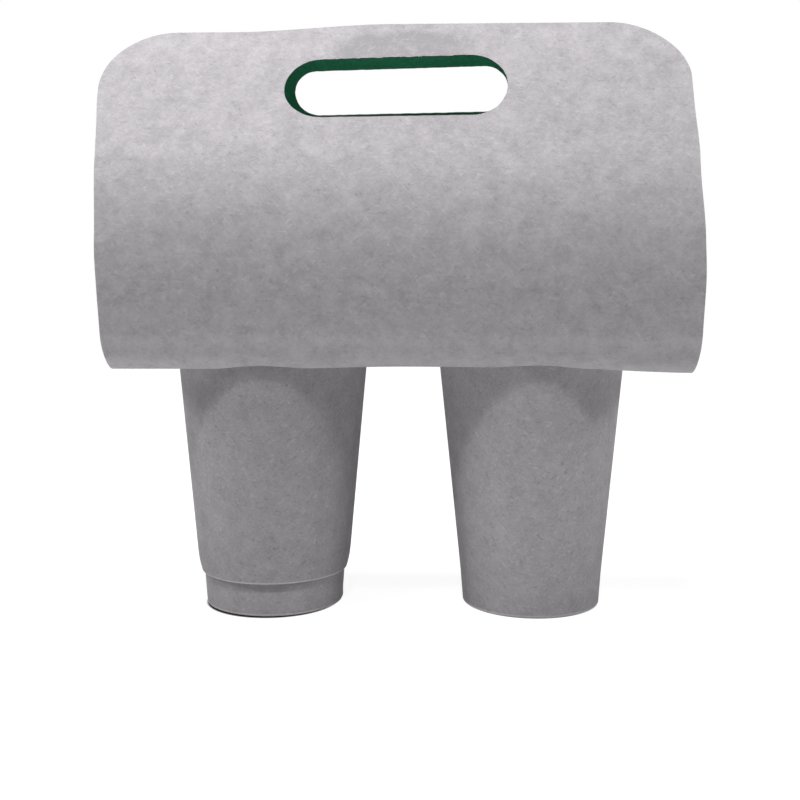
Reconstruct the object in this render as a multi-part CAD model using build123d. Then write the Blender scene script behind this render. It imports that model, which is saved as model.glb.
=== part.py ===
from build123d import *
import math
import os

# A card carrier that holds two paper cups by their tapered walls. One die-cut sheet is bent into a
# drop-shaped loop: a floor with two round holes, a belly round the cup rims, and two flaps that lean
# together at the handle slots. The left cup also wears a card sleeve.
# X runs along the carrier, Y from the front to the back, Z up. The cups stand on Z = 0 and the
# origin lies midway between them. Sizes are in millimetres.

# Paper cups
cup_spacing = 115.0
cup_height = 136.0
rim_radius = 45.5
rim_roll = 1.25
rim_sides = 8
cup_paper = 0.45
foot_radius = 30.2
foot_band_height = 13.0
foot_band_swell = 1.0
hem_height = 7.5
base_height = 10.0
base_paper = 0.4
base_fit = 0.05
seam_width = 7.0
seam_angle = 10.0

# Sleeve of the left cup
sleeve_card = 0.9
sleeve_height = 104.0
sleeve_drop = 0.875
sleeve_bottom_gap = 1.1
sleeve_top_gap = 0.15

# Carrier sheet
card = 0.6
floor_height = 106.0
floor_depth = 97.0
belly_depth = 104.0
shoulder_rise = 62.0
carrier_height = 150.0
handle_gap = 2.4
floor_bend = 14.0
belly_bend = 115.0
floor_width = 242.0
handle_width = 256.0
corner_radius = 31.0
slot_length = 97.5
front_slot_height = 32.0
back_slot_height = 21.5
slot_margin = 18.8
hole_clearance = 0.3


# Cup walls

wall_top = cup_height - rim_roll
wall_top_radius = rim_radius - 2 * rim_roll + cup_paper


def wall_radius(height):
    """Outer radius of a cup wall: a nearly upright foot band, and a cone above it."""
    band_radius = foot_radius + foot_band_swell
    if height < foot_band_height:
        return foot_radius + foot_band_swell * height / foot_band_height
    share = (height - foot_band_height) / (wall_top - foot_band_height)
    return band_radius + (wall_top_radius - band_radius) * share


def wall_point(height, inset=0.0):
    """Point of a cup's half section, set in from the outer surface."""
    return (wall_radius(height) - inset, height)


def wall_section():
    """Half section of the wall: cone, foot band, and the hem that is folded up inside the foot."""
    channel = base_paper + 2 * base_fit
    wall = make_face(
        Polyline(
            wall_point(0),
            wall_point(foot_band_height),
            wall_point(wall_top),
            wall_point(wall_top, cup_paper),
            wall_point(foot_band_height, cup_paper),
            wall_point(cup_paper, cup_paper),
            wall_point(cup_paper, cup_paper + channel),
            wall_point(hem_height, cup_paper + channel),
            wall_point(hem_height, 2 * cup_paper + channel),
            wall_point(0, 2 * cup_paper + channel),
            close=True,
        )
    )
    return wall + rim_section()


def rim_section():
    """Half section of the rim: paper rolled up tight outwards, its round drawn with a few flats."""
    flats = Rot(0, 0, 180 / rim_sides) * RegularPolygon(rim_roll, rim_sides, major_radius=False)
    return Pos(rim_radius - rim_roll, wall_top) * flats


def seam_lap():
    """Strip where the wall's two ends overlap, inside the cup on its right."""
    lower = base_height + base_paper
    upper = wall_top - rim_roll
    section = make_face(
        Polyline(
            wall_point(lower, cup_paper / 2),
            wall_point(upper, cup_paper / 2),
            wall_point(upper, 2 * cup_paper),
            wall_point(lower, 2 * cup_paper),
            close=True,
        )
    )
    turn = math.degrees(seam_width / wall_top_radius)
    strip = revolve(Plane.XZ * section, Axis.Z, turn)
    return Rot(0, 0, seam_angle - turn / 2) * strip


def cup_wall():
    """Wall of one cup, standing on the origin."""
    return revolve(Plane.XZ * wall_section(), Axis.Z) + seam_lap()


def cup_base():
    """Base disc of one cup, with the skirt that the wall's hem clamps."""
    outside = cup_paper + base_fit
    inside = outside + base_paper
    skirt_foot = cup_paper + base_fit
    disc_top = base_height
    disc_underside = base_height - base_paper
    section = make_face(
        Polyline(
            (0, disc_top),
            wall_point(disc_top, outside),
            wall_point(skirt_foot, outside),
            wall_point(skirt_foot, inside),
            wall_point(disc_underside, inside),
            (0, disc_underside),
            close=True,
        )
    )
    return revolve(Plane.XZ * section, Axis.Z)


# Sleeve

# The sleeve is centred on the height of the wall, apart from a small drop
sleeve_bottom = (wall_top - sleeve_height) / 2 - sleeve_drop
sleeve_top = sleeve_bottom + sleeve_height


def sleeve_radius(height):
    """Inner radius of the sleeve: snug on the cup at its top edge, standing off at its lower edge."""
    low = wall_radius(sleeve_bottom) + sleeve_bottom_gap
    high = wall_radius(sleeve_top) + sleeve_top_gap
    return low + (high - low) * (height - sleeve_bottom) / sleeve_height


def cup_sleeve():
    """Conical card sleeve, standing round the origin."""
    section = make_face(
        Polyline(
            (sleeve_radius(sleeve_bottom), sleeve_bottom),
            (sleeve_radius(sleeve_bottom) + sleeve_card, sleeve_bottom),
            (sleeve_radius(sleeve_top) + sleeve_card, sleeve_top),
            (sleeve_radius(sleeve_top), sleeve_top),
            close=True,
        )
    )
    return revolve(Plane.XZ * section, Axis.Z)


# Carrier

carrier_top = floor_height + carrier_height
floor_corner = Vector(-floor_depth / 2, floor_height + card / 2)
shoulder = Vector(-(belly_depth - card) / 2, floor_height + card / 2 + shoulder_rise)
flap_edge = Vector(-(handle_gap + card) / 2, carrier_top)
flap_rise = (flap_edge - shoulder).normalized()
floor_run = floor_depth / 2
side_run = (shoulder - floor_corner).length
flap_run = (flap_edge - shoulder).length


def bend_reach(before, after):
    """How far a bend of radius 1 reaches along the runs on either side of its corner."""
    return math.tan(math.radians(before.get_angle(after)) / 2)


# Largest share of a straight run that a bend may take, so that two bends never meet
floor_bend_share = 0.4
belly_bend_share = 0.55

floor_bend_reach = bend_reach(Vector(-1, 0), shoulder - floor_corner)
belly_bend_reach = bend_reach(shoulder - floor_corner, flap_edge - shoulder)
floor_bend_room = floor_bend_share * min(side_run, floor_run) / floor_bend_reach
belly_bend_room = belly_bend_share * min(side_run, flap_run) / belly_bend_reach
floor_radius = min(floor_bend, floor_bend_room)
belly_radius = min(belly_bend, belly_bend_room)


def half_profile():
    """Front half of the bent sheet in section, from the middle of its floor to just past its top edge."""
    floor_middle = Vector(0, floor_corner.Y)
    past_edge = flap_edge + flap_rise * card
    centre_line = FilletPolyline(
        floor_middle, floor_corner, shoulder, past_edge, radius=(floor_radius, belly_radius)
    )
    return trace(centre_line, line_width=card)


def flap_plane():
    """Plane along the front flap: its origin at the middle of the top edge, its Y up the flap."""
    edge = Vector(0, flap_edge.X, flap_edge.Y)
    return Plane(origin=edge, x_dir=(1, 0, 0), z_dir=(0, -flap_rise.Y, flap_rise.X))


def sheet_outline():
    """Outline of the front half on the flap's plane, carried on straight down to the floor's height."""
    drop = carrier_height / flap_rise.Y
    outline = make_face(
        Polyline(
            (-floor_width / 2, -drop),
            (floor_width / 2, -drop),
            (handle_width / 2, 0),
            (-handle_width / 2, 0),
            close=True,
        )
    )
    return fillet(outline.vertices().sort_by(Axis.Y)[-2:], corner_radius)


def handle_slot(height):
    """Cutter for a hand slot of this height in the front flap."""
    slot = Pos(0, -slot_margin - height / 2) * SlotOverall(slot_length, height)
    return extrude(flap_plane() * slot, amount=2 * card, both=True)


def front_half(slot_height):
    """Front half of the sheet: bent, trimmed to its outline along Y, and a slot of this height cut."""
    bent = extrude(Plane.YZ * half_profile(), amount=max(floor_width, handle_width) / 2, both=True)
    trim = extrude(flap_plane() * sheet_outline(), amount=belly_depth, dir=(0, 1, 0), both=True)
    return (bent & trim) - handle_slot(slot_height)


def cup_hole(radius_at):
    """Cutter for a cup hole: the cone of what passes through the floor, and its clearance."""
    low = floor_height - floor_bend
    high = floor_height + floor_bend
    return Pos(0, 0, low) * Cone(
        radius_at(low) + hole_clearance,
        radius_at(high) + hole_clearance,
        high - low,
        align=(Align.CENTER, Align.CENTER, Align.MIN),
    )


def cup_carrier():
    """The whole sheet, with a hole for the sleeved left cup and one for the bare right cup."""
    back_half = mirror(front_half(back_slot_height), about=Plane.XZ)
    sheet = front_half(front_slot_height) + back_half
    left_hole = Pos(-cup_spacing / 2, 0, 0) * cup_hole(lambda height: sleeve_radius(height) + sleeve_card)
    right_hole = Pos(cup_spacing / 2, 0, 0) * cup_hole(wall_radius)
    return sheet - left_hole - right_hole


def build_parts():
    """All pieces by node name, where they stand."""
    left = Pos(-cup_spacing / 2, 0, 0)
    right = Pos(cup_spacing / 2, 0, 0)
    return {
        "cup_carrier": cup_carrier(),
        "left_cup_wall": left * cup_wall(),
        "left_cup_base": left * cup_base(),
        "left_cup_sleeve": left * cup_sleeve(),
        "right_cup_wall": right * cup_wall(),
        "right_cup_base": right * cup_base(),
    }


os.makedirs("parts", exist_ok=True)
for node_name, piece in build_parts().items():
    piece.label = node_name
    export_step(piece, os.path.join("parts", node_name + ".step"))
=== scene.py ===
import math
from collections import namedtuple

import bmesh
import bpy
from mathutils import Matrix, Vector, noise
from mathutils.geometry import delaunay_2d_cdt


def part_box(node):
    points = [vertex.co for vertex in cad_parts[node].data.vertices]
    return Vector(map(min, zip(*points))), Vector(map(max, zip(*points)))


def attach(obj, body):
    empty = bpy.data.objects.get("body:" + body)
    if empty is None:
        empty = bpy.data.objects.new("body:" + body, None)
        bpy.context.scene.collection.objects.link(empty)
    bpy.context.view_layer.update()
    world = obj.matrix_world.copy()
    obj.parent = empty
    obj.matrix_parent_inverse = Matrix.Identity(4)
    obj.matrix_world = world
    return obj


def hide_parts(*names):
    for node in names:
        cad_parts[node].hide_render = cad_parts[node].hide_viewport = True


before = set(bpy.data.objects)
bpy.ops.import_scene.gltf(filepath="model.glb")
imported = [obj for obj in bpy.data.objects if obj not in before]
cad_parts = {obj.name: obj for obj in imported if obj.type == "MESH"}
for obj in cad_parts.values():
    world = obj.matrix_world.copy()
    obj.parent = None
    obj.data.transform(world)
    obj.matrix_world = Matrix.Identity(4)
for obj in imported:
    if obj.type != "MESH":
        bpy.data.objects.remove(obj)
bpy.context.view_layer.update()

# A grey card carrier, bent from one sheet, that holds two paper cups by their tapered walls.
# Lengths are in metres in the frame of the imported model: X along the carrier, Y to the back, Z up.

MM = 0.001

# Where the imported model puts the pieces
cup_low, cup_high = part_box("right_cup_wall")
sleeve_low, sleeve_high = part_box("left_cup_sleeve")
sheet_low, sheet_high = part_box("cup_carrier")

CUP_X = (cup_low.x + cup_high.x) / 2
CUP_HEIGHT = cup_high.z
RIM_RADIUS = (cup_high.x - cup_low.x) / 2
FLOOR_HEIGHT = sheet_low.z
SHEET_TOP = sheet_high.z
SLEEVE_BOTTOM = sleeve_low.z
SLEEVE_TOP = sleeve_high.z
SLEEVE_TOP_RADIUS = (sleeve_high.x - sleeve_low.x) / 2

# Cups
PAPER = 0.45 * MM
RIM_ROLL = 1.25 * MM
RIM_ROUND = 1.45 * math.pi
RIM_STEPS = 22
RIM_TUCK = 1.2 * RIM_ROLL
WALL_TOP = CUP_HEIGHT - RIM_ROLL
WALL_TOP_RADIUS = RIM_RADIUS - 2 * RIM_ROLL + PAPER
CONE_STEP = 6 * MM
FOOT_RADIUS = 30.2 * MM
FOOT_BAND_HEIGHT = 13 * MM
FOOT_BAND_SWELL = 1.0 * MM
FOOT_BAND_START = 3 * MM
FOOT_BAND_STEP = 2 * MM
FOOT_ROUND = 0.35 * MM
FOOT_ROUND_MIDDLE = 0.3 * FOOT_ROUND
# Height of the paler strip along the lowest edge of the foot
PALE_FOOT_HEIGHT = 0.95 * MM
HEM_HEIGHT = 7.5 * MM
HEM_INSET = 1.4 * MM
BASE_SEAT = 0.95 * MM

# Lap of the cups' wrapped paper: where its free edge is, and how that edge stands out
LAP_ANGLE = math.radians(10)
LAP_WIDTH = 7 * MM
LAP_REACH = 2.5 * LAP_WIDTH
LAP_LIFT = 0.22 * MM
LAP_CORNER_LIFT = 0.45 * MM
LAP_CORNER_HEIGHT = 6 * MM

# Sleeve
SLEEVE_CARD = 0.9 * MM
SLEEVE_BOTTOM_RADIUS = 33.35 * MM
SLEEVE_BEVEL = 0.2 * MM
# Height of the strip at the outer face's lower rim that has the pale edge card as a painted highlight
SLEEVE_HIGHLIGHT_STRIP = 0.6 * MM
SLEEVE_CURL = 1.0 * MM
SLEEVE_CURL_HEIGHT = 9 * MM
SLEEVE_CURL_POWER = 2.2
SLEEVE_FRONT_GAPE = 0.9
SLEEVE_OUTER_STEP = 2.5 * MM
SLEEVE_INNER_STEP = 4 * MM
SLEEVE_INNER_END = 2 * MM

# Turned pieces
TURN_STEPS = 240
SHARP_ANGLE = math.radians(50)

# Carrier sheet
CARD = 0.6 * MM
FLOOR_HALF_DEPTH = 48.5 * MM
SHOULDER_HALF_DEPTH = 51.7 * MM
SHOULDER_RISE = 62 * MM
FLAP_HALF_GAP = 1.5 * MM
FLOOR_BEND = 14 * MM
BELLY_BEND = 115 * MM
FLOOR_HALF_WIDTH = 121 * MM
HANDLE_HALF_WIDTH = 128 * MM
CORNER_RADIUS = 31 * MM
HOLE_CLEARANCE = 0.3 * MM

# Frayed edge of both hand slots, and the torn stretch of the front slot's upper edge
SLOT_FRAY = 0.15 * MM
FRAY_LENGTH = 2.5 * MM
FRAY_SEED = 4
TORN_FRAY = 1.1 * MM
TORN_LENGTH = 1.2 * MM
TORN_FROM = -34 * MM
TORN_TO = 34 * MM
TORN_STEP = 0.6 * MM
TORN_SEED = (0.4, 7.3)

# Spacing of the points on the flat sheet
GRID_STEP = 3 * MM
BEND_STEP = 1.2 * MM
EDGE_STEP = 1.5 * MM
GRID_CLEARANCE = 1.0 * MM
# Points nearer to each other than this, in millimetres, become one
MERGE_MM = 1e-5
# The triangulation's mode in which it gives every triangle, those in the holes too
ALL_TRIANGLES = 0
# Rounds of the search for the edge of a cup hole on the bent floor
HOLE_ROUNDS = 12

# Hand slot of the front and of the back flap: half length, half height, card above it, shift aside
FRONT_SLOT = (47.75 * MM, 16 * MM, 18.8 * MM, 1.2 * MM)
BACK_SLOT = (48.75 * MM, 10.75 * MM, 19.6 * MM, 2.7 * MM)

# How the loaded sheet has settled out of its true form, in millimetres, as (height, shift) aside
LEAN = ((140, 0.2), (160, -0.3), (192, -1.6), (227, -3.1), (256, -3.9))
SIDE_PULL = ((106, -0.9), (122, 0.0), (145, 0.1), (180, -0.6), (205, 0.0), (227, 0.5), (248, -1.0))
SIDE_PULL_REACH = 125
# Its rise, as (place along X, rise) or as a slope, and the share of it at each height
TOP_SAG = ((-70, -3.0), (0, 0.0))
TOP_SAG_FADE = ((238, 0.0), (256, 1.0))
SLOT_TILT = 0.023
SLOT_TILT_REACH = 60
SLOT_TILT_FADE = ((190, 0.0), (238, 1.0), (256, 0.0))
FLOOR_SAG = ((-90, 0.2), (-57, 0.0), (0, 1.1), (57, 0.7), (125, -1.5))
FLOOR_SAG_FADE = ((108, 1.0), (128, 0.0))

# Material slots of a piece: its face, its inside, and its cut edges and the paler strips along its lower
# edges
FACE = 0
INSIDE = 1
EDGE = 2

# Camera, fitted to the outlines of the photograph
IMAGE_SIZE = 800
CAMERA_PLACE = Vector((0.0137, -0.500, 0.1423))
CAMERA_YAW = 0.029
CAMERA_PITCH = 0.038
CAMERA_ROLL = -0.002
FOCAL_PIXELS = 1118.6
PRINCIPAL_ROW = 324.6
SENSOR_WIDTH = 36.0


# Bent line of the sheet

# One straight or evenly bent stretch: its first point, its heading there, its curve and its length
Run = namedtuple("Run", "start heading curve length")


def bent_line(corners, radii):
    """Runs of a line through the corners, with a round bend at each inner one."""
    runs = []
    here = corners[0]
    for index, radius in enumerate(radii, start=1):
        before = (corners[index] - corners[index - 1]).normalized()
        after = (corners[index + 1] - corners[index]).normalized()
        turn = math.atan2(before.x * after.y - before.y * after.x, before.dot(after))
        reach = radius * math.tan(abs(turn) / 2)
        bend_start = corners[index] - before * reach
        heading = math.atan2(before.y, before.x)
        runs.append(Run(here, heading, 0.0, (bend_start - here).length))
        runs.append(Run(bend_start, heading, turn / abs(turn) / radius, radius * abs(turn)))
        here = corners[index] + after * reach
    last = corners[-1] - here
    runs.append(Run(here, math.atan2(last.y, last.x), 0.0, last.length))
    return runs


SHEET_RUNS = bent_line(
    (
        Vector((0, FLOOR_HEIGHT + CARD / 2)),
        Vector((-FLOOR_HALF_DEPTH, FLOOR_HEIGHT + CARD / 2)),
        Vector((-SHOULDER_HALF_DEPTH, FLOOR_HEIGHT + CARD / 2 + SHOULDER_RISE)),
        Vector((-FLAP_HALF_GAP, SHEET_TOP)),
    ),
    (FLOOR_BEND, BELLY_BEND),
)
HALF_LENGTH = sum(run.length for run in SHEET_RUNS)
ROUNDING = 1e-9


def on_sheet(distance):
    """(y, z, heading) of the sheet's middle at a distance from the floor's middle, front below zero."""
    left = min(abs(distance), HALF_LENGTH)
    for start, heading, curve, length in SHEET_RUNS:
        if left <= length + ROUNDING:
            break
        left -= length
    if curve:
        end_heading = heading + curve * left
        y = start.x + (math.sin(end_heading) - math.sin(heading)) / curve
        z = start.y - (math.cos(end_heading) - math.cos(heading)) / curve
    else:
        end_heading = heading
        y = start.x + math.cos(heading) * left
        z = start.y + math.sin(heading) * left
    if distance > 0:
        return -y, z, math.pi - end_heading
    return y, z, end_heading


def half_width(distance):
    """Half the sheet's width at a distance along it: it widens from the floor to the handle."""
    height = on_sheet(distance)[1]
    share = max(0.0, (height - FLOOR_HEIGHT) / (SHEET_TOP - FLOOR_HEIGHT))
    return FLOOR_HALF_WIDTH + (HANDLE_HALF_WIDTH - FLOOR_HALF_WIDTH) * share


# Round pieces

def wall_radius(height):
    """Outer radius of a cup wall: a nearly upright foot band, and a cone above it."""
    band_radius = FOOT_RADIUS + FOOT_BAND_SWELL
    if height < FOOT_BAND_HEIGHT:
        return FOOT_RADIUS + FOOT_BAND_SWELL * height / FOOT_BAND_HEIGHT
    share = (height - FOOT_BAND_HEIGHT) / (WALL_TOP - FOOT_BAND_HEIGHT)
    return band_radius + (WALL_TOP_RADIUS - band_radius) * share


def sleeve_radius(height):
    """Outer radius of the sleeve, without the curl of its lower edge."""
    share = (height - SLEEVE_BOTTOM) / (SLEEVE_TOP - SLEEVE_BOTTOM)
    return SLEEVE_BOTTOM_RADIUS + (SLEEVE_TOP_RADIUS - SLEEVE_BOTTOM_RADIUS) * share


# Outlines on the flat sheet, as (x, distance along the sheet)

# Each cup hole: the middle of the cup along X, and the radius of what passes through it
HOLES = ((-CUP_X, sleeve_radius), (CUP_X, wall_radius))

FLAP_HEADING = SHEET_RUNS[-1].heading
SIDE_SLOPE = (
    (HANDLE_HALF_WIDTH - FLOOR_HALF_WIDTH) / (SHEET_TOP - FLOOR_HEIGHT) * math.sin(FLAP_HEADING)
)
CORNER_X = HANDLE_HALF_WIDTH - SIDE_SLOPE * CORNER_RADIUS - CORNER_RADIUS * math.hypot(1, SIDE_SLOPE)
CORNER_DISTANCE = HALF_LENGTH - CORNER_RADIUS


def inside_sides(x, distance, margin):
    """True inside the sheet's outer edges by more than a margin."""
    if abs(distance) > HALF_LENGTH - margin:
        return False
    if abs(x) > CORNER_X and abs(distance) > CORNER_DISTANCE:
        from_centre = math.hypot(abs(x) - CORNER_X, abs(distance) - CORNER_DISTANCE)
        return from_centre < CORNER_RADIUS - margin
    return abs(x) < half_width(distance) - margin


def hand_slot(side):
    """Slot of the front flap (side below zero) or the back flap: half length of its straight part,
    end radius, distance of its middle along the sheet, and shift aside."""
    half_length, end_radius, card_above, aside = FRONT_SLOT if side < 0 else BACK_SLOT
    return half_length - end_radius, end_radius, HALF_LENGTH - card_above - end_radius, aside


def outside_slot(x, distance, margin):
    """True outside the hand slot of this flap by more than a margin."""
    straight, end_radius, middle, aside = hand_slot(distance)
    along = max(0.0, abs(x - aside) - straight)
    return math.hypot(along, abs(distance) - middle) > end_radius + margin


def outside_holes(x, distance, margin):
    """True outside both cup holes by more than a margin."""
    y, z, _ = on_sheet(distance)
    if z > FLOOR_HEIGHT + FLOOR_BEND:
        return True
    for centre_x, radius_at in HOLES:
        if math.hypot(x - centre_x, y) < radius_at(z) + HOLE_CLEARANCE + margin:
            return False
    return True


def on_card(x, distance, margin=0.0):
    """True where the sheet has card, by more than a margin from its cut edges."""
    return (
        inside_sides(x, distance, margin)
        and outside_slot(x, distance, margin)
        and outside_holes(x, distance, margin)
    )


def steps_between(first, last, step):
    """Evenly spaced values from the first up to, but without, the last."""
    count = max(1, round(abs(last - first) / step))
    return [first + (last - first) * index / count for index in range(count)]


def sheet_outline():
    """Outer edge of the flat sheet, once round."""
    side_angle = -math.atan(SIDE_SLOPE)
    side_start = CORNER_DISTANCE + CORNER_RADIUS * math.sin(side_angle)
    quarter = []
    for distance in steps_between(0, side_start, EDGE_STEP):
        quarter.append((half_width(distance), distance))
    for angle in steps_between(side_angle, math.pi / 2, EDGE_STEP / CORNER_RADIUS):
        x = CORNER_X + CORNER_RADIUS * math.cos(angle)
        quarter.append((x, CORNER_DISTANCE + CORNER_RADIUS * math.sin(angle)))
    for x in steps_between(CORNER_X, 0, 2 * EDGE_STEP):
        quarter.append((x, HALF_LENGTH))
    quarter.append((0, HALF_LENGTH))
    back = quarter + [(-x, distance) for x, distance in reversed(quarter[:-1])]
    front = [(x, -distance) for x, distance in reversed(back[1:-1])]
    return back + front


def torn_lift(x):
    """How far the upper edge of the front slot is torn upwards or hangs down at x."""
    if not TORN_FROM < x < TORN_TO:
        return 0.0
    return noise.noise(Vector((x / TORN_LENGTH, *TORN_SEED))) * TORN_FRAY


def slot_edge(straight, end_radius, torn):
    """Edge of a hand slot round its own middle; its upper side may be torn."""
    points = []
    for end in (1, -1):
        for angle in steps_between(-math.pi / 2, math.pi / 2, EDGE_STEP / end_radius):
            x = end * (straight + end_radius * math.cos(angle))
            points.append((x, end * end_radius * math.sin(angle)))
        torn_here = torn and end > 0
        for x in steps_between(end * straight, -end * straight, TORN_STEP if torn_here else EDGE_STEP):
            points.append((x, end * end_radius + (torn_lift(x) if torn_here else 0.0)))
    return points


def slot_outline(side):
    """Edge of the hand slot of one flap, with the slight fray of a worn cutting die."""
    straight, end_radius, middle, aside = hand_slot(side)
    frayed = []
    for x, across in slot_edge(straight, end_radius, torn=side < 0):
        fray = noise.noise_vector(Vector((x, across, side * HALF_LENGTH)) / FRAY_LENGTH) * SLOT_FRAY
        frayed.append((aside + x + fray.x, side * (middle + across + fray.y)))
    return frayed


def hole_outline(centre_x, radius_at):
    """Edge of a cup hole on the flat sheet: the cup's round where it meets the bent floor."""
    count = round(2 * math.pi * radius_at(FLOOR_HEIGHT) / EDGE_STEP)
    points = []
    for index in range(count):
        angle = 2 * math.pi * index / count
        distance = radius_at(FLOOR_HEIGHT) * math.sin(angle)
        for _ in range(HOLE_ROUNDS):
            y, z, _ = on_sheet(distance)
            radius = radius_at(z) + HOLE_CLEARANCE
            distance += radius * math.sin(angle) - y
        points.append((centre_x + radius * math.cos(angle), distance))
    return points


# Flat sheet

def grid_rows():
    """Distances along the sheet of the rows of inner points, closer together in the floor bends."""
    rows = [0.0]
    reached = 0.0
    for run in SHEET_RUNS:
        step = BEND_STEP if run.curve and 1 / abs(run.curve) < BELLY_BEND / 2 else GRID_STEP
        count = max(1, round(run.length / step))
        rows += [reached + run.length * (index + 1) / count for index in range(count)]
        reached += run.length
    return [-row for row in reversed(rows[1:-1])] + rows[:-1]


def grid_points():
    """Points inside the card, in staggered rows."""
    columns = round(HANDLE_HALF_WIDTH / GRID_STEP)
    points = []
    for number, distance in enumerate(grid_rows()):
        for column in range(-columns, columns + 1):
            x = (column + 0.5 * (number % 2)) * GRID_STEP
            if on_card(x, distance, GRID_CLEARANCE):
                points.append((x, distance))
    return points


def flat_sheet():
    """Points and triangles of the flat sheet, cut out along its outer edge, slots and holes."""
    loops = [sheet_outline(), slot_outline(-1), slot_outline(1)]
    loops += [hole_outline(centre_x, radius_at) for centre_x, radius_at in HOLES]
    flat = []
    edges = []
    for loop in loops:
        first = len(flat)
        flat += loop
        edges += [(first + i, first + (i + 1) % len(loop)) for i in range(len(loop))]
    flat += grid_points()
    in_mm = [Vector((x / MM, distance / MM)) for x, distance in flat]
    points, _, triangles = delaunay_2d_cdt(in_mm, edges, [], ALL_TRIANGLES, MERGE_MM)[:3]
    points = [point * MM for point in points]
    kept = []
    for triangle in triangles:
        middle = sum((points[i] for i in triangle), Vector((0, 0))) / 3
        if on_card(middle.x, middle.y):
            kept.append(tuple(triangle))
    return points, kept


# Bent sheet

def eased(place, stops):
    """Value at a place between (place, value) stops, with a soft passage from each to the next."""
    if place <= stops[0][0]:
        return stops[0][1]
    for (low, low_value), (high, high_value) in zip(stops, stops[1:]):
        if place < high:
            share = (place - low) / (high - low)
            return low_value + (high_value - low_value) * share * share * (3 - 2 * share)
    return stops[-1][1]


def settled(point):
    """Point of the true sheet, moved by the small sag and lean of the loaded carrier."""
    x, z = point.x / MM, point.z / MM
    side = math.copysign(min(1.0, abs(x) / SIDE_PULL_REACH) ** 3, x)
    aside = eased(z, LEAN) + side * eased(z, SIDE_PULL)
    rise = eased(x, TOP_SAG) * eased(z, TOP_SAG_FADE) + eased(x, FLOOR_SAG) * eased(z, FLOOR_SAG_FADE)
    rise += SLOT_TILT * max(-SLOT_TILT_REACH, min(SLOT_TILT_REACH, x)) * eased(z, SLOT_TILT_FADE)
    return point + Vector((aside, 0, rise)) * MM


def bent_skin(mesh, points, side):
    """Bent points of the sheet's outer skin (side 1) or inner skin (side -1)."""
    skin = []
    for point in points:
        y, z, heading = on_sheet(point.y)
        lift = side * CARD / 2
        if point.y > 0:
            lift = -lift
        place = Vector((point.x, y - math.sin(heading) * lift, z + math.cos(heading) * lift))
        skin.append(mesh.verts.new(settled(place)))
    return skin


def cut_pairs(triangles):
    """Pairs of neighbouring points with a triangle on one side only: the sheet's cut edges."""
    uses = {}
    for triangle in triangles:
        for i in range(3):
            pair = frozenset((triangle[i], triangle[(i + 1) % 3]))
            uses[pair] = uses.get(pair, 0) + 1
    return [pair for pair, count in uses.items() if count == 1]


def add_face(mesh, corners, slot):
    """A smooth face with a material slot."""
    face = mesh.faces.new(corners)
    face.material_index = slot
    face.smooth = True


def carrier_sheet(materials):
    """The bent sheet: an outer and an inner skin, joined by the cut edges."""
    points, triangles = flat_sheet()
    mesh = bmesh.new()
    outer, inner = [bent_skin(mesh, points, side) for side in (1, -1)]
    for slot, skin in ((FACE, outer), (INSIDE, inner)):
        for triangle in triangles:
            add_face(mesh, [skin[i] for i in triangle], slot)
    for a, b in cut_pairs(triangles):
        add_face(mesh, (outer[a], outer[b], inner[b], inner[a]), EDGE)
    loose = [vert for vert in mesh.verts if not vert.link_faces]
    bmesh.ops.delete(mesh, geom=loose, context="VERTS")
    bmesh.ops.recalc_face_normals(mesh, faces=mesh.faces)
    for edge in mesh.edges:
        slots = {face.material_index for face in edge.link_faces}
        edge.smooth = len(slots) == 1
    return finished("carrier_sheet", mesh, materials)


def finished(name, mesh, materials):
    """A named object from a bmesh, with its materials."""
    data = bpy.data.meshes.new(name)
    mesh.to_mesh(data)
    mesh.free()
    for material in materials:
        data.materials.append(material)
    piece = bpy.data.objects.new(name, data)
    bpy.context.scene.collection.objects.link(piece)
    return piece


# Turned pieces

def turned(name, section, centre_x, materials, slots, shift):
    """A closed section of (radius, height) points turned round an upright axis.
    slots gives each stretch of the section its material, and shift moves a point outwards."""
    mesh = bmesh.new()
    rings = []
    for step in range(TURN_STEPS):
        angle = 2 * math.pi * step / TURN_STEPS
        ring = []
        for index, (radius, height) in enumerate(section):
            at = radius + shift(index, angle, height)
            ring.append(mesh.verts.new((centre_x + at * math.cos(angle), at * math.sin(angle), height)))
        rings.append(ring)
    for here, after in zip(rings, rings[1:] + rings[:1]):
        for index, slot in enumerate(slots):
            beyond = (index + 1) % len(section)
            add_face(mesh, (here[index], after[index], after[beyond], here[beyond]), slot)
    bmesh.ops.recalc_face_normals(mesh, faces=mesh.faces)
    for edge in mesh.edges:
        edge.smooth = edge.calc_face_angle(0) < SHARP_ANGLE
    return finished(name, mesh, materials)


def angle_from(angle, start):
    """Angle from a start, between 0 and a full turn."""
    return (angle - start) % (2 * math.pi)


def lap_lift(angle, height):
    """How far the outer end of the wrapped paper stands out beside the lap's free edge."""
    past = angle_from(angle, LAP_ANGLE - LAP_REACH / RIM_RADIUS) * RIM_RADIUS
    if past > LAP_REACH:
        return 0.0
    corner = max(0.0, 1 - height / LAP_CORNER_HEIGHT)
    return (LAP_LIFT + LAP_CORNER_LIFT * corner ** 2) * (past / LAP_REACH) ** 3


def ring_heights():
    """Heights of a cup's rings, from its foot band to just under the rolled rim."""
    band = steps_between(FOOT_BAND_START, FOOT_BAND_HEIGHT, FOOT_BAND_STEP)
    cone = steps_between(FOOT_BAND_HEIGHT, WALL_TOP - 2 * RIM_ROLL, CONE_STEP)
    return band + cone + [WALL_TOP - RIM_TUCK]


def wall_outside():
    """Outer line of a cup wall, from the rounded edge of its foot up to the rim."""
    rounded = [
        (FOOT_RADIUS - FOOT_ROUND, 0.0),
        (FOOT_RADIUS - FOOT_ROUND_MIDDLE, FOOT_ROUND_MIDDLE),
    ]
    heights = [FOOT_ROUND, PALE_FOOT_HEIGHT] + ring_heights()
    return rounded + [(wall_radius(height), height) for height in heights]


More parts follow.
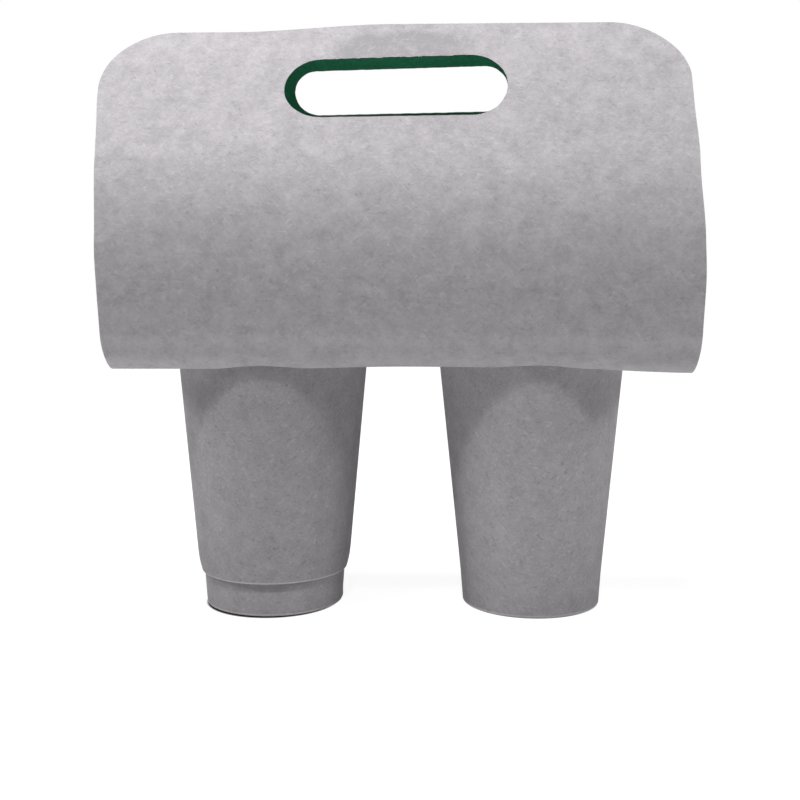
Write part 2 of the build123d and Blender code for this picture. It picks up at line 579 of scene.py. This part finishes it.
def rim_line():
    """Round of the rolled rim, from under its outside over its top to the inside of the wall."""
    points = []
    for index in range(RIM_STEPS, -1, -1):
        angle = math.pi - RIM_ROUND * index / RIM_STEPS
        radius = RIM_RADIUS - RIM_ROLL + RIM_ROLL * math.cos(angle)
        points.append((radius, WALL_TOP + RIM_ROLL * math.sin(angle)))
    return points


def foot_hem():
    """Paper that is folded up inside the foot, round the skirt of the base."""
    return [
        (wall_radius(PAPER) - PAPER, PAPER),
        (wall_radius(PAPER) - BASE_SEAT, PAPER),
        (wall_radius(HEM_HEIGHT) - BASE_SEAT, HEM_HEIGHT),
        (wall_radius(HEM_HEIGHT) - HEM_INSET, HEM_HEIGHT),
        (FOOT_RADIUS - HEM_INSET, 0.0),
    ]


def cup_wall(name, node, centre_x, sleeved, materials):
    """Wall of a cup: rolled rim, cone, foot band, and the hem folded up inside the foot."""
    outer = wall_outside() + rim_line()
    inner = [(wall_radius(height) - PAPER, height) for height in reversed(ring_heights())]
    hem = foot_hem()
    pale_strip = sum(1 for radius, height in outer if height < PALE_FOOT_HEIGHT)
    slots = [EDGE] * pale_strip + [FACE] * (len(outer) - pale_strip) + [INSIDE] * len(inner + hem)

    def lapped(index, angle, height):
        """Shift of a point at the lap: the paper is double inside, and its free end lifts outside."""
        if index >= len(outer):
            past = angle_from(angle, LAP_ANGLE) * RIM_RADIUS
            return -PAPER if past < LAP_WIDTH and index < len(outer + inner) else 0.0
        covered = sleeved and SLEEVE_BOTTOM < height < SLEEVE_TOP
        return 0.0 if covered else lap_lift(angle, height)

    piece = turned(name, outer + inner + hem, centre_x, materials, slots, lapped)
    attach(piece, "root")
    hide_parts(node)
    return piece


def sleeve(materials):
    """Card sleeve of the left cup, its lower edge drawn in against the wall at the sides."""
    outer_heights = [SLEEVE_BOTTOM + SLEEVE_BEVEL]
    outer_heights += steps_between(SLEEVE_BOTTOM + SLEEVE_HIGHLIGHT_STRIP, SLEEVE_TOP, SLEEVE_OUTER_STEP)
    outer_heights.append(SLEEVE_TOP)
    inner_heights = steps_between(SLEEVE_TOP, SLEEVE_BOTTOM, SLEEVE_INNER_STEP)
    inner_heights.append(SLEEVE_BOTTOM + SLEEVE_INNER_END)
    outer = [(sleeve_radius(height), height) for height in outer_heights]
    inner = [(sleeve_radius(height) - SLEEVE_CARD, height) for height in inner_heights]
    inner_radius = SLEEVE_BOTTOM_RADIUS - SLEEVE_CARD
    lower_edge = [
        (inner_radius, SLEEVE_BOTTOM + SLEEVE_BEVEL),
        (inner_radius + SLEEVE_BEVEL, SLEEVE_BOTTOM),
        (SLEEVE_BOTTOM_RADIUS - SLEEVE_BEVEL, SLEEVE_BOTTOM),
    ]
    # The lowest stretch of the outer face takes the pale edge card as a painted highlight along the lower
    # rim
    slots = [EDGE] + [FACE] * (len(outer) - 2) + [EDGE] + [INSIDE] * len(inner) + [EDGE] * len(lower_edge)

    def drawn_in(index, angle, height):
        """Shift of a point near the lower edge: in at the sides and back, hardly at the front."""
        left = max(0.0, 1 - (height - SLEEVE_BOTTOM) / SLEEVE_CURL_HEIGHT)
        gape = SLEEVE_FRONT_GAPE * max(0.0, -math.sin(angle)) ** 2
        return -SLEEVE_CURL * (1 - gape) * left ** SLEEVE_CURL_POWER

    piece = turned("cup_sleeve", outer + inner + lower_edge, -CUP_X, materials, slots, drawn_in)
    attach(piece, "root")
    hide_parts("left_cup_sleeve")
    return piece


# Shader nodes

def feed(tree, socket, value):
    """Gives a socket a value, or links another socket to it."""
    if isinstance(value, bpy.types.NodeSocket):
        tree.links.new(value, socket)
    else:
        socket.default_value = value


def add_node(tree, kind, inputs, **settings):
    """A shader node with its settings, and with its inputs fed by name or number."""
    made = tree.nodes.new(kind)
    for name, value in settings.items():
        setattr(made, name, value)
    for key, value in inputs.items():
        feed(tree, made.inputs[key], value)
    return made


def math_node(tree, operation, first, second):
    """A maths node on two values or sockets; gives its output."""
    return add_node(tree, "ShaderNodeMath", {0: first, 1: second}, operation=operation).outputs[0]


def total(tree, values):
    """Sum of several sockets."""
    running = values[0]
    for value in values[1:]:
        running = math_node(tree, "ADD", running, value)
    return running


def ramp(tree, value, start, end, start_result, end_result, easing="LINEAR"):
    """A value that passes from one result at a start to another at an end."""
    inputs = {
        "Value": value,
        "From Min": start,
        "From Max": end,
        "To Min": start_result,
        "To Max": end_result,
    }
    return add_node(tree, "ShaderNodeMapRange", inputs, interpolation_type=easing).outputs["Result"]


def object_place(tree):
    """Place on the surface in the object's own frame."""
    return tree.nodes.new("ShaderNodeTexCoord").outputs["Object"]


def new_group(name, inputs, outputs):
    """An empty shader node group with named sockets, and the ends of those sockets inside it."""
    group = bpy.data.node_groups.new(name, "ShaderNodeTree")
    for socket_name, default in inputs.items():
        kind = "NodeSocketVector" if isinstance(default, tuple) else "NodeSocketFloat"
        socket = group.interface.new_socket(socket_name, in_out="INPUT", socket_type=kind)
        socket.default_value = default
    for socket_name in outputs:
        group.interface.new_socket(socket_name, in_out="OUTPUT", socket_type="NodeSocketFloat")
    given = group.nodes.new("NodeGroupInput").outputs
    wanted = group.nodes.new("NodeGroupOutput").inputs
    return group, given, wanted


# Paper and card

# Noise of the clouded pulp, the fibres and the fine grain, as (scale, detail, roughness)
CLOUD_NOISE = (120, 4, 0.78)
FIBRE_NOISE = (1300, 0, 0.5)
GRAIN_NOISE = (1500, 1, 0.5)
# Place in the noise that keeps the grain apart from the clouds
GRAIN_SEED = 8.1
# Directions of the fibres, each with a place of its own in the noise
FIBRE_DIRECTIONS = (
    ((0.0, 0.1, 0.0), 3.7),
    ((0.0, -0.7, 0.2), 14.2),
    ((0.0, 0.9, -0.3), 25.9),
)
FIBRE_STRETCH = (5, 1, 1)
# Tone of the pale fibres, of the dark fibres and of the dark specks: (from, to, tone there, tone there)
PALE_FIBRES = (0.66, 0.80, 0.0, 0.22)
DARK_FIBRES = (0.34, 0.20, 0.0, -0.22)
SPECK_SCALE = 150
DARK_SPECKS = (0.05, 0.13, -0.35, 0.0)
# Names of the four amounts of the group, in the order in which a material gives them
AMOUNTS = ("Clouds", "Fibres", "Grain", "Specks")


def pulp_noise(group, seed, place, noise_shape, offset):
    """Noise between 0 and 1 with its scale, detail and roughness, at a place of its own."""
    scale, detail, roughness = noise_shape
    inputs = {
        "Vector": place,
        "W": math_node(group, "ADD", seed, offset),
        "Scale": scale,
        "Detail": detail,
        "Roughness": roughness,
    }
    return add_node(group, "ShaderNodeTexNoise", inputs, noise_dimensions="4D").outputs["Fac"]


def fibres_along(group, seed, place, turn, offset):
    """Short fibres of one direction, lighter or darker than the pulp round them."""
    inputs = {"Vector": place, "Rotation": turn, "Scale": FIBRE_STRETCH}
    stretched = add_node(group, "ShaderNodeMapping", inputs, vector_type="TEXTURE")
    strands = pulp_noise(group, seed, stretched.outputs["Vector"], FIBRE_NOISE, offset)
    pale = ramp(group, strands, *PALE_FIBRES)
    dark = ramp(group, strands, *DARK_FIBRES)
    return math_node(group, "ADD", pale, dark)


def recycled_fibres():
    """Group: the mottled tone and the relief of pulp with mixed fibres."""
    inputs = {"Seed": 0.0}
    inputs.update((amount, 1.0) for amount in AMOUNTS)
    group, given, wanted = new_group("recycled_fibres", inputs, ("Tone", "Relief"))
    seed = given["Seed"]
    place = object_place(group)
    clouds = math_node(group, "SUBTRACT", pulp_noise(group, seed, place, CLOUD_NOISE, 0.0), 0.5)
    strands = [fibres_along(group, seed, place, turn, offset) for turn, offset in FIBRE_DIRECTIONS]
    grain = math_node(group, "SUBTRACT", pulp_noise(group, seed, place, GRAIN_NOISE, GRAIN_SEED), 0.5)
    spots = add_node(group, "ShaderNodeTexVoronoi", {"Vector": place, "Scale": SPECK_SCALE})
    specks = ramp(group, spots.outputs["Distance"], *DARK_SPECKS)
    parts = []
    for amount, value in zip(AMOUNTS, (clouds, total(group, strands), grain, specks)):
        parts.append(math_node(group, "MULTIPLY", value, given[amount]))
    feed(group, wanted["Tone"], math_node(group, "ADD", total(group, parts), 0.5))
    feed(group, wanted["Relief"], total(group, parts[:3]))
    return group


# A patch is full up to this share of its reach, and has faded out at the other
PATCH_FULL = 0.75
PATCH_END = 1.15


def painted_shading_patch():
    """Group: a change of tone inside a soft round patch, and none away from it, which paints shade and
    light.
    """
    inputs = {"Middle": (0.0, 0.0, 0.0), "Reach": (1.0, 1.0, 1.0), "Change": 0.0}
    group, given, wanted = new_group("painted_shading_patch", inputs, ("Tone",))
    place = object_place(group)
    for operation, amount in (("SUBTRACT", "Middle"), ("DIVIDE", "Reach")):
        step = add_node(group, "ShaderNodeVectorMath", {0: place, 1: given[amount]}, operation=operation)
        place = step.outputs["Vector"]
    away = add_node(group, "ShaderNodeVectorMath", {0: place}, operation="LENGTH").outputs["Value"]
    tone = ramp(group, away, PATCH_FULL, PATCH_END, given["Change"], 0.0, easing="SMOOTHSTEP")
    feed(group, wanted["Tone"], tone)
    return group


FIBRES = recycled_fibres()
PATCH = painted_shading_patch()

# Painted shade and light, as (middle, reach, change of tone): painted shade above the front slot,
# painted bounce light along the bends of the carrier's floor, and a painted shadow under the sleeve's
# edge
PAINTED_SHADE_ABOVE_SLOT = ((0, -10 * MM, 245 * MM), (32 * MM, 9 * MM, 11 * MM), -0.40)
# Painted bounce light: a paler band along the bends of the carrier's floor
PAINTED_BOUNCE_LIGHT_BEND = ((0, 0, FLOOR_HEIGHT), (1, 1, 15 * MM), 0.32)
SLEEVE_SHADE = (
    (-CUP_X - 4 * MM, -25 * MM, SLEEVE_BOTTOM - 1.9 * MM),
    (29 * MM, 40 * MM, 2.6 * MM),
    -0.36,
)

# Dark and light tone of each kind of paper and card
GREY_PULP = ((0.40, 0.383, 0.40), (0.64, 0.613, 0.64))
SLEEVE_PULP = ((0.35, 0.335, 0.35), (0.57, 0.546, 0.57))
GREEN_INK = ((0.03, 0.25, 0.13), (0.06, 0.42, 0.22))
# Cut edges of the carrier: the card's own edge colour, darkened with painted shade like the shaded edges
# inside the slots
DARK_SHADED_CUT = ((0.07, 0.06, 0.07), (0.18, 0.16, 0.17))
# Pale cut edge of the sleeve, also used as a painted highlight along its lower rim
PALE_CUT_AND_HIGHLIGHT = ((0.64, 0.62, 0.64), (0.86, 0.83, 0.86))
# Paler strip along the lowest edge of each cup's foot
PALE_FOOT_PAPER = ((0.62, 0.60, 0.62), (0.84, 0.81, 0.84))
SMOOTH_PAPER = ((0.50, 0.49, 0.49), (0.66, 0.65, 0.65))
BASE_PAPER = ((0.46, 0.45, 0.45), (0.60, 0.59, 0.59))
BARE_SLEEVE = ((0.32, 0.31, 0.32), (0.50, 0.49, 0.50))

# Amounts of clouds, fibres, grain and specks
EVEN_MIX = (1, 1, 1, 1)
CARRIER_MIX = (1.85, 1.1, 0.4, 1)
CUP_MIX = (1.35, 1.5, 0.75, 1)

PAPER_RELIEF = 0.12 * MM
CARRIER_RELIEF = 0.10 * MM
BUMP_STRENGTH = 0.5
PAPER_SHINE = 0.25


def paper_material(name, tones, seed, roughness, relief=PAPER_RELIEF, amounts=EVEN_MIX, painted_shading=()):
    """Uncoated paper or card between a dark and a light tone, with patches of painted shade and light."""
    material = bpy.data.materials.new(name)
    material.use_nodes = True
    tree = material.node_tree
    tree.nodes.clear()
    inputs = {"Seed": seed}
    inputs.update(zip(AMOUNTS, amounts))
    fibres = add_node(tree, "ShaderNodeGroup", inputs, node_tree=FIBRES)
    tone = fibres.outputs["Tone"]
    for middle, reach, change in painted_shading:
        inputs = {"Middle": middle, "Reach": reach, "Change": change}
        patch = add_node(tree, "ShaderNodeGroup", inputs, node_tree=PATCH)
        tone = math_node(tree, "ADD", tone, patch.outputs["Tone"])
    dark, light = tones
    inputs = {"Factor": tone, "A": (*dark, 1), "B": (*light, 1)}
    colour = add_node(tree, "ShaderNodeMix", inputs, data_type="RGBA")
    inputs = {"Strength": BUMP_STRENGTH, "Distance": relief, "Height": fibres.outputs["Relief"]}
    bump = add_node(tree, "ShaderNodeBump", inputs)
    inputs = {
        "Base Color": colour.outputs["Result"],
        "Roughness": roughness,
        "Specular IOR Level": PAPER_SHINE,
        "Normal": bump.outputs["Normal"],
    }
    shader = add_node(tree, "ShaderNodeBsdfPrincipled", inputs)
    add_node(tree, "ShaderNodeOutputMaterial", {"Surface": shader.outputs["BSDF"]})
    return material


# The carrier's face has painted shade above the front slot and painted bounce light along its floor bends
CARRIER_FACE = paper_material(
    "carrier_grey_card", GREY_PULP, seed=1.0, roughness=0.85,
    relief=CARRIER_RELIEF, amounts=CARRIER_MIX, painted_shading=(PAINTED_SHADE_ABOVE_SLOT, PAINTED_BOUNCE_LIGHT_BEND),
)
CARRIER_LINING = paper_material("carrier_green_lining", GREEN_INK, seed=2.0, roughness=0.8)
CARRIER_EDGE_AND_SHADE = paper_material("carrier_cut_edge_and_shade", DARK_SHADED_CUT, seed=3.0, roughness=0.9)
# The cups' face has a painted shadow under the sleeve's edge
CUP_FACE = paper_material(
    "cup_grey_paper", GREY_PULP, seed=4.0, roughness=0.85, amounts=CUP_MIX, painted_shading=(SLEEVE_SHADE,)
)
CUP_INSIDE = paper_material("cup_inner_paper", SMOOTH_PAPER, seed=5.0, roughness=0.6)
CUP_PALE_FOOT = paper_material("cup_pale_foot_strip", PALE_FOOT_PAPER, seed=10.0, roughness=0.85)
CUP_BASE = paper_material("cup_base_paper", BASE_PAPER, seed=6.0, roughness=0.65)
SLEEVE_FACE = paper_material(
    "sleeve_grey_card", SLEEVE_PULP, seed=7.0, roughness=0.88, amounts=CUP_MIX
)
SLEEVE_INSIDE = paper_material("sleeve_inner_card", BARE_SLEEVE, seed=8.0, roughness=0.9)
SLEEVE_EDGE_AND_HIGHLIGHT = paper_material("sleeve_cut_edge_and_highlight", PALE_CUT_AND_HIGHLIGHT, seed=9.0, roughness=0.9)


# Pieces

noise.seed_set(FRAY_SEED)
carrier = carrier_sheet((CARRIER_FACE, CARRIER_LINING, CARRIER_EDGE_AND_SHADE))
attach(carrier, "root")
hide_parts("cup_carrier")

cup_wall("left_cup", "left_cup_wall", -CUP_X, True, (CUP_FACE, CUP_INSIDE, CUP_PALE_FOOT))
cup_wall("right_cup", "right_cup_wall", CUP_X, False, (CUP_FACE, CUP_INSIDE, CUP_PALE_FOOT))
sleeve((SLEEVE_FACE, SLEEVE_INSIDE, SLEEVE_EDGE_AND_HIGHLIGHT))

for base_name in ("left_cup_base", "right_cup_base"):
    base_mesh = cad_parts[base_name].data
    base_mesh.materials.clear()
    base_mesh.materials.append(CUP_BASE)


# Floor and world

FLOOR_SIZE = 12.0
WHITE = (1, 1, 1, 1)
# How the floor looks: a shade that takes shadows, and a glow that grows to white away from the object
FLOOR_SHADE = 0.25
FLOOR_GLOW = 0.93
FLOOR_GLOW_NEAR = 0.25
FLOOR_GLOW_FAR = 0.8
# What the floor throws back at the object, and the light that wide white surroundings would add to it,
# each as (middle, near, far, strength): full up to near, and gone at far
FLOOR_BOUNCE = 0.60
FLOOR_LIGHTS = (
    ((0.0, -0.03, 0.0), 0.08, 0.14, 0.08),
    ((0.0, -0.12, 0.0), 0.04, 0.12, 0.04),
    ((-0.28, 0.0, 0.0), 0.10, 0.18, 0.12),
    ((0.28, 0.0, 0.0), 0.10, 0.18, 0.30),
)
# Painted contact shadow: a dark round under each foot, a little narrower and set forward, so that a thin
# line of it shows
PAINTED_CONTACT_SHADOWS = ((-CUP_X - 0.5 * MM, -3.2 * MM, 0), (CUP_X, -1.4 * MM, 0))
PAINTED_CONTACT_DARK = 0.02
CONTACT_RADIUS = FOOT_RADIUS - 0.9 * MM
CONTACT_BLUR = 0.6 * MM
AMBIENT = 0.01


def seen_directly(tree):
    """1 for camera, mirror and glass rays, which see the plain white background."""
    path = tree.nodes.new("ShaderNodeLightPath")
    some = math_node(tree, "MAXIMUM", path.outputs["Is Camera Ray"], path.outputs["Is Glossy Ray"])
    return math_node(tree, "MAXIMUM", some, path.outputs["Is Transmission Ray"])


def distance_from(tree, place, centre):
    """Distance on the floor from a centre."""
    inputs = {0: place, 1: centre}
    return add_node(tree, "ShaderNodeVectorMath", inputs, operation="DISTANCE").outputs["Value"]


def matt(tree, grey):
    """Matt grey shader."""
    return add_node(tree, "ShaderNodeBsdfDiffuse", {"Color": (grey, grey, grey, 1)}).outputs[0]


def glow(tree, strength):
    """White shader that gives light of its own."""
    return add_node(tree, "ShaderNodeEmission", {"Color": WHITE, "Strength": strength}).outputs[0]


def added(tree, first, second):
    """Two shaders added together."""
    return add_node(tree, "ShaderNodeAddShader", {0: first, 1: second}).outputs[0]


def mixed(tree, share, first, second):
    """Shader that passes from the first to the second as a share goes from 0 to 1."""
    return add_node(tree, "ShaderNodeMixShader", {0: share, 1: first, 2: second}).outputs[0]


def floor_for_object(tree, place):
    """The floor as it lights the object: a matt grey with the added light of its surroundings."""
    thrown_up = 0.0
    for middle, near, far, strength in FLOOR_LIGHTS:
        spread = ramp(tree, distance_from(tree, place, middle), near, far, strength, 0.0)
        thrown_up = math_node(tree, "ADD", thrown_up, spread)
    return added(tree, matt(tree, FLOOR_BOUNCE), glow(tree, thrown_up))


def floor_for_camera(tree, place):
    """The floor as it is seen: white, with the object's shadow and a painted contact shadow, a dark line
    under its feet.
    """
    from_middle = distance_from(tree, place, (0, 0, 0))
    strength = ramp(tree, from_middle, FLOOR_GLOW_NEAR, FLOOR_GLOW_FAR, FLOOR_GLOW, 1.0)
    near, far = CONTACT_RADIUS - CONTACT_BLUR, CONTACT_RADIUS + CONTACT_BLUR
    open_floor = 1.0
    for contact_middle in PAINTED_CONTACT_SHADOWS:
        away = ramp(tree, distance_from(tree, place, contact_middle), near, far, 0.0, 1.0)
        open_floor = math_node(tree, "MULTIPLY", open_floor, away)
    white = added(tree, matt(tree, FLOOR_SHADE), glow(tree, strength))
    return mixed(tree, open_floor, glow(tree, PAINTED_CONTACT_DARK), white)


def white_floor():
    """Pale floor that looks white, and keeps a light shadow of the object."""
    material = bpy.data.materials.new("studio_floor")
    material.use_nodes = True
    tree = material.node_tree
    tree.nodes.clear()
    place = object_place(tree)
    surface = mixed(
        tree, seen_directly(tree), floor_for_object(tree, place), floor_for_camera(tree, place)
    )
    add_node(tree, "ShaderNodeOutputMaterial", {"Surface": surface})
    mesh = bmesh.new()
    bmesh.ops.create_grid(mesh, x_segments=1, y_segments=1, size=FLOOR_SIZE / 2)
    floor = finished("studio_floor", mesh, (material,))


def white_world():
    """White surroundings to look at, and only a faint even light from them."""
    world = bpy.data.worlds.new("studio_world")
    bpy.context.scene.world = world
    world.use_nodes = True
    tree = world.node_tree
    tree.nodes.clear()
    strength = ramp(tree, seen_directly(tree), 0.0, 1.0, AMBIENT, 1.0)
    background = add_node(tree, "ShaderNodeBackground", {"Color": WHITE, "Strength": strength})
    add_node(tree, "ShaderNodeOutputWorld", {"Surface": background.outputs[0]})


white_floor()
white_world()


# Lamps, as (name, place, size, power)

OBJECT_MIDDLE = (0.0, 0.0, 0.15)
LAMPS = (
    ("top_lamp", (-0.15, 0.0, 0.9), 0.3, 5.7),
    ("front_lamp", (0.0, -0.9, 1.6), 0.12, 4.3),
    ("lower_front_lamp", (0.0, -1.2, 1.5), 0.12, 1.3),
    ("left_front_lamp", (-0.8, -0.8, 1.4), 0.2, 3.7),
    ("left_lamp", (-1.3, -0.3, 0.8), 0.3, 4.1),
    ("right_lamp", (1.3, -0.3, 0.8), 0.3, 4.3),
)


def lamp(name, place, target, size, power):
    """A square soft lamp that points at a target."""
    data = bpy.data.lights.new(name, "AREA")
    data.shape = "SQUARE"
    data.size = size
    data.energy = power
    made = bpy.data.objects.new(name, data)
    made.location = place
    made.rotation_euler = (Vector(target) - Vector(place)).to_track_quat("-Z", "Y").to_euler()
    bpy.context.scene.collection.objects.link(made)


for lamp_name, lamp_place, lamp_size, lamp_power in LAMPS:
    lamp(lamp_name, lamp_place, OBJECT_MIDDLE, lamp_size, lamp_power)


# Camera

def photo_camera():
    """The camera at the photograph's place and angle."""
    right = Vector((math.cos(CAMERA_YAW), math.sin(CAMERA_YAW), 0))
    level = Vector((-math.sin(CAMERA_YAW), math.cos(CAMERA_YAW), 0))
    upright = Vector((0, 0, 1))
    forward = level * math.cos(CAMERA_PITCH) - upright * math.sin(CAMERA_PITCH)
    up = level * math.sin(CAMERA_PITCH) + upright * math.cos(CAMERA_PITCH)
    rolled_right = right * math.cos(CAMERA_ROLL) + up * math.sin(CAMERA_ROLL)
    rolled_up = up * math.cos(CAMERA_ROLL) - right * math.sin(CAMERA_ROLL)
    data = bpy.data.cameras.new("photo_camera")
    data.sensor_width = SENSOR_WIDTH
    data.lens = FOCAL_PIXELS / IMAGE_SIZE * SENSOR_WIDTH
    data.shift_y = (PRINCIPAL_ROW - IMAGE_SIZE / 2) / IMAGE_SIZE
    made = bpy.data.objects.new("photo_camera", data)
    turn = Matrix((rolled_right, rolled_up, -forward)).transposed()
    made.matrix_world = Matrix.Translation(CAMERA_PLACE) @ turn.to_4x4()
    bpy.context.scene.collection.objects.link(made)
    bpy.context.scene.camera = made


photo_camera()
bpy.context.scene.view_settings.view_transform = "Standard"
